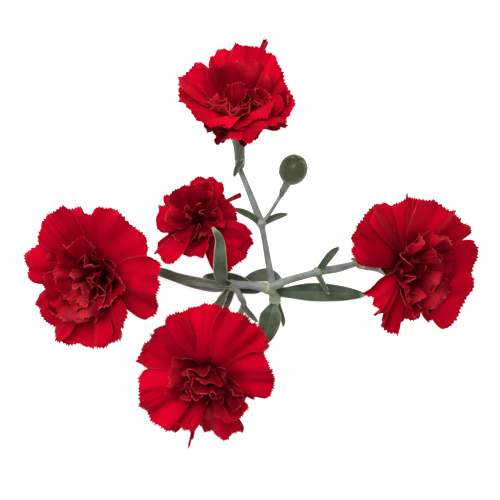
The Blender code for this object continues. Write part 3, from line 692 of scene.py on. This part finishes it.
BUD_FACES = (48, 90)
BUD_RIBS = 30
BUD_RIB_DEPTH = 0.012
# The pleats at the bud's tip: where they start and over what share, how deep they are, and how far they dip.
PLEATED = (0.62, 0.3)
PLEAT_DEPTH = 0.09
PLEAT_DIP = 0.9
DIPPING = (0.8, 0.2)

# The scales at the foot of a calyx and of the bud: where the first one stands, and each one's distance from
# the axis, height, length, half width and lean.
SCALES = 4
SCALE_FACES = (10, 8)
SCALE_TONE = 0.2
CUP_SCALES = {"start": 0.5, "shape": (2.0, -18.6, 5.8, 1.7, 0.5)}
BUD_SCALES = {"start": 0.4, "shape": (2.5, 0.1, 4.2, 2.3, 3.1)}


def triangle_wave(turn, count):
    """Rises from 0 to 1 and falls back that many times round a full turn."""
    return 1 - np.abs(2 * np.mod(turn * count / math.tau, 1) - 1)


def along_profile(profile, p):
    """Radius and height at the share p of a profile's length."""
    path = smooth_path([(r, z, 0) for r, z in profile], PROFILE_STEPS)
    share = shares_along(path)
    return np.maximum(np.interp(p, share, path[:, 0]), 0), np.interp(p, share, path[:, 1])


def cup_surface():
    """The cup: its profile turned about the axis with fine ribs. Each column stops where the triangle wave of
    the teeth says, so that the rim is cut into five pointed teeth."""
    rows, sides = CUP_FACES
    turn = np.linspace(0, math.tau, sides, endpoint=False)[None, :]
    p = np.linspace(0, 1, rows + 1)[:, None]
    shares = np.linspace(0, 1, PROFILE_PLACES)
    _, heights = along_profile(CUP_PROFILE, shares)
    top = TOOTH_FOOT + TOOTH_LENGTH * triangle_wave(turn + TOOTH_TURN, TEETH) ** TOOTH_POWER
    end = np.interp(top, heights, shares)
    r, z = along_profile(CUP_PROFILE, (p * end).ravel())
    r, z = r.reshape(rows + 1, sides), z.reshape(rows + 1, sides)
    r = r * (1 + CUP_RIB_DEPTH * np.cos(CUP_RIBS * turn) * ease(p * 4))
    return np.stack([r * np.cos(turn), r * np.sin(turn), z], axis=-1), turn / math.tau, p


def scale_surface(turn, radius, height, length, half, lean):
    """A pointed scale hugging the axis at its radius. Its width closes to the tip as the root of what is left
    of its length, and it leans out by lean at its tip."""
    rows, columns = SCALE_FACES
    u = np.linspace(0, 1, rows + 1)[:, None]
    v = np.linspace(-1, 1, columns + 1)[None, :]
    width = half * np.sqrt(np.clip(1 - u, 0, 1)) * (0.75 + 0.5 * u) + 0.05
    r = radius + lean * u**1.5 + 0 * v
    angle = turn + v * width / r
    z = height + length * u + 0 * v
    return np.stack([r * np.cos(angle), r * np.sin(angle), z], axis=-1), v * 0.5 + 0.5, u


def make_scales(name, bloom, scales, material):
    """The ring of scales at the foot of a calyx or of the bud."""
    sheets = []
    for k in range(SCALES):
        grid, across, along = scale_surface(math.tau * k / SCALES + scales["start"], *scales["shape"])
        sheets.append((in_bloom(grid, 0, bloom), across, along, SCALE_TONE))
    return piece_from(name + "_scales", sheets, material)


def make_cup(name, bloom, inside, outside):
    """The toothed cup of a calyx with its scales, in one piece, with a paler inside."""
    grid, across, along = cup_surface()
    cup = piece_from(name, [(in_bloom(grid, 0, bloom), across, along, CUP_TONE)], inside, around=True)
    scales = make_scales(name, bloom, CUP_SCALES, inside)
    return join(thicken(cup, CALYX_THICK, outside), thicken(scales, CALYX_THICK, outside))


def bud_surface():
    """The bud: an egg-shaped profile turned about its axis, finely ribbed, drawn into five pleats at its tip
    where the closed teeth meet."""
    rows, sides = BUD_FACES
    turn = np.linspace(0, math.tau, sides, endpoint=False)[None, :]
    p = np.linspace(0, 1, rows + 1)[:, None]
    r, z = along_profile(BUD_PROFILE, p.ravel())
    r, z = r[:, None], z[:, None]
    pleat = ease(p, *PLEATED)
    valley = 1 - triangle_wave(turn, TEETH)
    ribs = 1 + BUD_RIB_DEPTH * np.cos(BUD_RIBS * turn) * ease(p * 5)
    r = r * ribs * (1 - PLEAT_DEPTH * pleat * valley)
    z = z - PLEAT_DIP * pleat * valley * ease(p, *DIPPING)
    return np.stack([r * np.cos(turn), r * np.sin(turn), z], axis=-1), turn / math.tau, p


def make_bud(name, material):
    """The closed bud with its scales, in one piece."""
    grid, across, along = bud_surface()
    body = piece_from(name, [(in_bloom(grid, 0, BUD), across, along, SCALE_TONE)], material, around=True)
    return join(body, thicken(make_scales(name, BUD, BUD_SCALES, material), CALYX_THICK))


# ---------------------------------------------------------------- materials

# How far the tone shifts the streaks of a blade, so that no two blades are streaked alike.
STREAK_SHIFT = 37.0
BUMP_STRENGTH = 0.3


def feed(tree, socket, value):
    """Gives an input a value, or links it to the socket that feeds it."""
    if isinstance(value, bpy.types.NodeSocket):
        tree.links.new(value, socket)
    else:
        socket.default_value = value


def add(tree, kind, inputs=None, **settings):
    """A node with its settings, and its inputs as values or as the sockets that feed them."""
    made = tree.nodes.new(kind)
    for key, value in settings.items():
        setattr(made, key, value)
    for key, value in (inputs or {}).items():
        feed(tree, made.inputs[key], value)
    return made


def math_node(tree, operation, *values, clamp=False):
    """The result socket of a Math node."""
    made = add(tree, "ShaderNodeMath", dict(enumerate(values)), operation=operation, use_clamp=clamp)
    return made.outputs[0]


def times(tree, first, second, plus=None, clamp=False):
    """The product of two values, with a third added to it where one is given."""
    if plus is None:
        return math_node(tree, "MULTIPLY", first, second, clamp=clamp)
    return math_node(tree, "MULTIPLY_ADD", first, second, plus, clamp=clamp)


def blend_colours(tree, share, first, second):
    """The colour socket of a mix of two colours, each a socket or three numbers."""
    made = add(tree, "ShaderNodeMix", {0: share}, data_type="RGBA")
    for key, colour in ((6, first), (7, second)):
        feed(tree, made.inputs[key], colour if isinstance(colour, bpy.types.NodeSocket) else (*colour, 1))
    return made.outputs[2]


def climb(tree, value, low, high):
    """0 below low and 1 above high, smooth between."""
    limits = {"Value": value, "From Min": low, "From Max": high}
    return add(tree, "ShaderNodeMapRange", limits, interpolation_type="SMOOTHSTEP").outputs["Result"]


def noise(tree, place, scale, detail):
    """The value of a noise texture, around a half."""
    made = add(tree, "ShaderNodeTexNoise", {"Vector": place, "Scale": scale, "Detail": detail})
    return made.outputs["Fac"]


def new_group(name, inputs, outputs):
    """An empty shader node group with named sockets, as (group, its inputs, its output node)."""
    group = bpy.data.node_groups.new(name, "ShaderNodeTree")
    for label, kind, value in inputs:
        socket = group.interface.new_socket(label, in_out="INPUT", socket_type=kind)
        if value is not None:
            socket.default_value = value
    for label in outputs:
        group.interface.new_socket(label, in_out="OUTPUT", socket_type="NodeSocketFloat")
    return group, group.nodes.new("NodeGroupInput").outputs, group.nodes.new("NodeGroupOutput")


def lengthwise_streaks():
    """Streaks that run from the foot of a blade to its margin: noise stretched along the blade's map, shifted
    for each blade by its tone."""
    group, given, out = new_group(
        "lengthwise_streaks",
        [
            ("Map", "NodeSocketVector", None),
            ("Count", "NodeSocketFloat", 40.0),
            ("Stretch", "NodeSocketFloat", 2.0),
            ("Tone", "NodeSocketFloat", 0.0),
        ],
        ["Streak"],
    )
    scale = add(group, "ShaderNodeCombineXYZ", {"X": given["Count"], "Y": given["Stretch"], "Z": 1.0})
    wide = add(group, "ShaderNodeVectorMath", {0: given["Map"], 1: scale.outputs[0]}, operation="MULTIPLY")
    shift = add(group, "ShaderNodeCombineXYZ", {"Z": times(group, given["Tone"], STREAK_SHIFT)})
    moved = add(group, "ShaderNodeVectorMath", {0: wide.outputs[0], 1: shift.outputs[0]}, operation="ADD")
    streak = climb(group, noise(group, moved.outputs[0], 1.0, 3.0), 0.3, 0.7)
    group.links.new(streak, out.inputs["Streak"])
    return group


def blade_margin():
    """How near a place is to the margin of its blade: the greatest of its share of the length and of the half
    width, climbing to 1 over the given width."""
    group, given, out = new_group(
        "blade_margin",
        [("Map", "NodeSocketVector", None), ("Width", "NodeSocketFloat", 0.05)],
        ["Margin"],
    )
    parts = add(group, "ShaderNodeSeparateXYZ", {0: given["Map"]})
    both_ways = times(group, parts.outputs["X"], 2.0, -1.0)
    nearest = math_node(group, "MAXIMUM", math_node(group, "ABSOLUTE", both_ways), parts.outputs["Y"])
    start = math_node(group, "SUBTRACT", 1.0, given["Width"])
    group.links.new(climb(group, nearest, start, 1.0), out.inputs["Margin"])
    return group


def wax_bloom():
    """The grey wax on green tissue: soft patches broken by a fine grain, from noise on the piece's own
    coordinates."""
    group, given, out = new_group(
        "wax_bloom",
        [
            ("Place", "NodeSocketVector", None),
            ("Patches", "NodeSocketFloat", 120.0),
            ("Grain", "NodeSocketFloat", 2600.0),
        ],
        ["Wax", "Grain"],
    )
    patches = climb(group, noise(group, given["Place"], given["Patches"], 4.0), 0.35, 0.68)
    grain = noise(group, given["Place"], given["Grain"], 2.0)
    broken = times(group, grain, 0.5, times(group, patches, 0.75))
    group.links.new(math_node(group, "SUBTRACT", broken, 0.15, clamp=True), out.inputs["Wax"])
    group.links.new(grain, out.inputs["Grain"])
    return group


STREAKS = lengthwise_streaks()
MARGIN = blade_margin()
WAX = wax_bloom()


def new_material(name, specular):
    """A Principled material with its specular level, as (material, tree, shader, map, place, tone)."""
    made = bpy.data.materials.new(name)
    made.use_nodes = True
    tree = made.node_tree
    shader = tree.nodes["Principled BSDF"]
    shader.inputs["Specular IOR Level"].default_value = specular
    blade = add(tree, "ShaderNodeUVMap", uv_map="blade").outputs["UV"]
    place = add(tree, "ShaderNodeTexCoord").outputs["Object"]
    tone = add(tree, "ShaderNodeAttribute", attribute_name="tone").outputs["Fac"]
    return made, tree, shader, blade, place, tone


def use_group(tree, group, **inputs):
    """A node group placed in a material with its own values."""
    return add(tree, "ShaderNodeGroup", inputs, node_tree=group).outputs


def finish_surface(tree, shader, colour, roughness, height, relief):
    """Feeds the shader its colour and roughness, and a normal bumped by the height, relief metres deep."""
    bump = add(tree, "ShaderNodeBump", {"Height": height, "Strength": BUMP_STRENGTH, "Distance": relief})
    tree.links.new(colour, shader.inputs["Base Color"])
    tree.links.new(roughness, shader.inputs["Roughness"])
    tree.links.new(bump.outputs["Normal"], shader.inputs["Normal"])


# The petals' reds: the painted shade of the heart, the two ends of the upper side and of the underside, the
# painted highlight on the margin of inner petals, the dark margin of outer ones, and the painted highlights
# in patches on inner petals. Then the tint of their gloss.
PETAL_HEART_SHADE = (0.07, 0.0, 0.004)
PETAL_RED = (0.27, 0.0, 0.010)
PETAL_BRIGHT = (0.60, 0.0, 0.019)
PETAL_UNDER_RED = (0.28, 0.003, 0.012)
PETAL_UNDER_BRIGHT = (0.70, 0.03, 0.05)
PETAL_RIM_HIGHLIGHT = (0.68, 0.05, 0.07)
PETAL_EDGE = (0.16, 0.005, 0.02)
PETAL_PAINTED_HIGHLIGHT = (0.75, 0.04, 0.06)
PETAL_GLOSS = (1.0, 0.2, 0.2, 1)


def petal_material(name, red, bright):
    """Velvety red from red to bright in soft patches and folds, brighter where the tone is high: partly
    random mottling and partly painted shade in the folds, between petals and on inner petals. Painted shade
    darkens it down the claw, with fine veins. Dark petals get painted highlights, pale patches near their
    tips and a pale margin, and light ones get a dark margin."""
    made, tree, shader, blade, place, tone = new_material(name, 0.02)
    shader.inputs["Specular Tint"].default_value = PETAL_GLOSS
    veins = use_group(tree, STREAKS, Map=blade, Count=46.0, Stretch=1.6, Tone=tone)["Streak"]
    folds = use_group(tree, STREAKS, Map=blade, Count=7.0, Stretch=1.2, Tone=tone)["Streak"]
    margin = use_group(tree, MARGIN, Map=blade, Width=0.022)["Margin"]
    patches = noise(tree, place, 60.0, 2.0)
    along = add(tree, "ShaderNodeSeparateXYZ", {0: blade}).outputs["Y"]

    # Partly random mottling, partly painted shade: darker in fold streaks, patches and low-tone inner petals.
    light = times(tree, folds, 0.2)
    light = times(tree, climb(tree, patches, 0.35, 0.65), 0.45, light)
    light = times(tree, tone, 0.4, light)
    light = math_node(tree, "SUBTRACT", light, 0.3, clamp=True)
    colour = blend_colours(tree, light, red, bright)

    # Painted shade: dark red down the claw and over short inner petals, for the shade deep in the heart.
    heart = climb(tree, times(tree, tone, 0.6, along), 0.45, 1.35)
    hollow_shade = times(tree, climb(tree, tone, 0.0, 0.15), -0.35, 1.22)
    shade = math_node(tree, "SUBTRACT", hollow_shade, heart)
    shade = times(tree, veins, 0.12, shade, clamp=True)
    colour = blend_colours(tree, shade, colour, PETAL_HEART_SHADE)

    # Painted highlight: pale coral patches near the tips of dark inner petals, where light catches them.
    darkness = times(tree, tone, -0.8, 0.36, clamp=True)
    painted_highlight = times(tree, climb(tree, along, 0.6, 1.0), climb(tree, patches, 0.45, 0.7))
    colour = blend_colours(tree, times(tree, painted_highlight, darkness), colour, PETAL_PAINTED_HIGHLIGHT)

    # Painted highlight: a pale margin on dark inner petals, for light caught on their edges.
    pale = times(tree, margin, times(tree, tone, -0.7, 0.6))
    colour = blend_colours(tree, pale, colour, PETAL_RIM_HIGHLIGHT)
    dark = times(tree, margin, times(tree, tone, 0.45))
    colour = blend_colours(tree, dark, colour, PETAL_EDGE)

    roughness = times(tree, folds, 0.12, 0.62)
    height = times(tree, noise(tree, place, 3000.0, 1.0), 0.3, veins)
    finish_surface(tree, shader, colour, roughness, height, 0.0001)
    return made


def green_material(name, green, wax_colour, rim_colour, rim_share, streak_share, foot=None):
    """Green tissue under grey wax, most where the tone is high, with lengthwise veins, a paler midrib and a
    pale margin. foot is the colour that its base fades from and how far along the blade it reaches."""
    made, tree, shader, blade, place, tone = new_material(name, 0.3)
    veins = use_group(tree, STREAKS, Map=blade, Count=26.0, Stretch=1.0, Tone=tone)["Streak"]
    wax = use_group(tree, WAX, Place=place, Patches=140.0)
    margin = use_group(tree, MARGIN, Map=blade, Width=0.09)["Margin"]
    parts = add(tree, "ShaderNodeSeparateXYZ", {0: blade}).outputs

    streaks = times(tree, veins, streak_share)
    colour = blend_colours(tree, streaks, green, [c * 0.5 for c in green])
    waxed = times(tree, tone, 0.55)
    waxed = times(tree, wax["Wax"], 0.45, waxed, clamp=True)
    colour = blend_colours(tree, waxed, colour, wax_colour)

    from_rib = math_node(tree, "ABSOLUTE", math_node(tree, "SUBTRACT", parts["X"], 0.5))
    rib = math_node(tree, "SUBTRACT", 1.0, climb(tree, from_rib, 0.01, 0.06))
    colour = blend_colours(tree, times(tree, rib, 0.25), colour, wax_colour)
    if foot:
        foot_colour, reach = foot
        fade = math_node(tree, "SUBTRACT", 1.0, climb(tree, parts["Y"], 0.0, reach))
        colour = blend_colours(tree, fade, colour, foot_colour)
    colour = blend_colours(tree, times(tree, margin, rim_share), colour, rim_colour)

    roughness = times(tree, wax["Wax"], 0.25, 0.38)
    height = times(tree, wax["Grain"], 0.25, veins)
    finish_surface(tree, shader, colour, roughness, height, 0.0001)
    return made


STEM_GREEN = (0.135, 0.16, 0.13)
STEM_SHADE = (0.085, 0.10, 0.085)
STEM_WAX = (0.235, 0.255, 0.255)
NODE_PALE = (0.205, 0.25, 0.115)
NODE_RING = (0.46, 0.49, 0.38)


def stem_material():
    """Grey-green waxed stem, streaked lengthwise, pale yellow-green at its nodes with whitish rings that keep
    step with their collars."""
    made, tree, shader, blade, place, tone = new_material("stem", 0.35)
    streaks = use_group(tree, STREAKS, Map=blade, Count=26.0, Stretch=1.4, Tone=0.0)["Streak"]
    wax = use_group(tree, WAX, Place=place, Patches=220.0)
    along = add(tree, "ShaderNodeSeparateXYZ", {0: blade}).outputs["Y"]
    ring = math_node(tree, "SINE", times(tree, along, COLLAR_RATE * STEM_MAP_LENGTH))
    ring = times(tree, climb(tree, ring, 0.6, 1.0), tone)

    colour = blend_colours(tree, times(tree, streaks, 0.45), STEM_GREEN, STEM_SHADE)
    colour = blend_colours(tree, times(tree, wax["Wax"], 0.8), colour, STEM_WAX)
    colour = blend_colours(tree, times(tree, tone, 0.8), colour, NODE_PALE)
    colour = blend_colours(tree, times(tree, ring, 0.35), colour, NODE_RING)

    roughness = times(tree, wax["Wax"], 0.2, 0.4)
    height = times(tree, wax["Grain"], 0.3, streaks)
    finish_surface(tree, shader, colour, roughness, height, 0.00012)
    return made


def floor_material():
    """Plain white that glows a little, so that the floor stays pale under the soft light."""
    made = bpy.data.materials.new("pale_floor")
    made.use_nodes = True
    shader = made.node_tree.nodes["Principled BSDF"]
    shader.inputs["Base Color"].default_value = (0.93, 0.93, 0.93, 1)
    shader.inputs["Roughness"].default_value = 0.9
    shader.inputs["Specular IOR Level"].default_value = 0.1
    shader.inputs["Emission Color"].default_value = (1, 1, 1, 1)
    shader.inputs["Emission Strength"].default_value = 0.72
    return made


PETAL = petal_material("petal", PETAL_RED, PETAL_BRIGHT)
PETAL_UNDER = petal_material("petal_under", PETAL_UNDER_RED, PETAL_UNDER_BRIGHT)
LEAF = green_material(
    "leaf", green=(0.017, 0.036, 0.010), wax_colour=(0.128, 0.16, 0.105),
    rim_colour=(0.30, 0.34, 0.24), rim_share=0.8, streak_share=0.5,
)
CALYX = green_material(
    "calyx", green=(0.062, 0.085, 0.040), wax_colour=(0.15, 0.172, 0.125),
    rim_colour=(0.50, 0.52, 0.40), rim_share=0.7, streak_share=0.7, foot=((0.16, 0.19, 0.10), 0.3),
)
CALYX_INSIDE = green_material(
    "calyx_inside", green=(0.16, 0.21, 0.12), wax_colour=(0.32, 0.37, 0.27),
    rim_colour=(0.62, 0.64, 0.52), rim_share=0.8, streak_share=0.7,
)
BUD_SKIN = green_material(
    "bud", green=(0.032, 0.047, 0.011), wax_colour=(0.082, 0.10, 0.046),
    rim_colour=(0.14, 0.13, 0.08), rim_share=0.5, streak_share=0.8, foot=((0.19, 0.22, 0.12), 0.45),
)
STEM = stem_material()

# ---------------------------------------------------------------- the spray


def carry(piece, *nodes, slot):
    """Hands a finished piece to the frame: it rides on the plant and stands for those nodes, if any."""
    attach(piece, "root")
    if nodes:
        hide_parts(*nodes)


for seed, (bloom_name, bloom) in enumerate(BLOOMS.items(), start=1):
    petals = make_petals(bloom_name + "_bloom", bloom, seed, PETAL_UNDER, PETAL)
    carry(petals, bloom_name + "_petals", slot="petal")
    cup = make_cup(bloom_name + "_cup", bloom, CALYX_INSIDE, CALYX)
    carry(cup, bloom_name + "_calyx", slot="calyx")
carry(make_bud("closed_bud", BUD_SKIN), "bud", slot="calyx")

bud_foot = (np.array(BUD["throat"]), bloom_frame(BUD["heading"], BUD["tilt"])[:, 2])
stems = {
    "main_stem": MAIN_STEM,
    "top_branch": path_to(TOP_BRANCH, *foot_of(BLOOMS["top"])),
    "right_branch": path_to(RIGHT_BRANCH, *foot_of(BLOOMS["right"])),
    "left_stalk": path_to(LEFT_STALK, *foot_of(BLOOMS["left"])),
    "bottom_stalk": path_to(BOTTOM_STALK, *foot_of(BLOOMS["bottom"])),
    "centre_stalk": path_to(CENTRE_STALK, *foot_of(BLOOMS["centre"])),
    "bud_stalk": path_to(BUD_STALK, *bud_foot),
}
for stem_name, points in stems.items():
    stem = make_stem(stem_name + "_round", points, STEM)
    if stem_name in BRACTS:
        carry(make_bracts(stem_name + "_bracts", BRACTS[stem_name], LEAF), slot="leaf")
    carry(stem, stem_name, slot="stem")
for leaf_name, (leaf_wax, *leaf_shape) in LEAVES.items():
    leaf = make_leaf(leaf_name + "_blade", leaf_shape, leaf_wax, LEAF)
    carry(leaf, leaf_name, slot="leaf")

# ---------------------------------------------------------------- floor, light and camera

# In metres. The floor lies a hair under the spray.
FLOOR_SIZE = 6
FLOOR_HEIGHT = -0.0002
CAMERA_HEIGHT = 1.0
CAMERA_ANGLE = 12.58

bpy.ops.mesh.primitive_plane_add(size=FLOOR_SIZE, location=(0, 0, FLOOR_HEIGHT))
floor = bpy.context.object
floor.name = "pale_floor"
floor.data.materials.append(floor_material())

world = bpy.data.worlds.new("soft_room")
world.use_nodes = True
world.node_tree.nodes["Background"].inputs["Color"].default_value = (1, 1, 1, 1)
world.node_tree.nodes["Background"].inputs["Strength"].default_value = 0.6
bpy.context.scene.world = world

lamp = bpy.data.lights.new("soft_panel", "AREA")
lamp.shape = "SQUARE"
lamp.size = 0.9
lamp.energy = 20
panel = bpy.data.objects.new("soft_panel", lamp)
panel.location = (-0.35, 0.45, 1.1)
panel.rotation_euler = (-panel.location).to_track_quat("-Z", "Y").to_euler()
bpy.context.scene.collection.objects.link(panel)

lens = bpy.data.cameras.new("camera")
lens.sensor_width = 36
lens.angle = math.radians(CAMERA_ANGLE)
lens.clip_start = 0.05
camera = bpy.data.objects.new("camera", lens)
camera.location = (-FOOTPRINT_MIDDLE[0] * MM, -FOOTPRINT_MIDDLE[1] * MM, CAMERA_HEIGHT)
bpy.context.scene.collection.objects.link(camera)
bpy.context.scene.camera = camera
bpy.context.scene.view_settings.view_transform = "Standard"
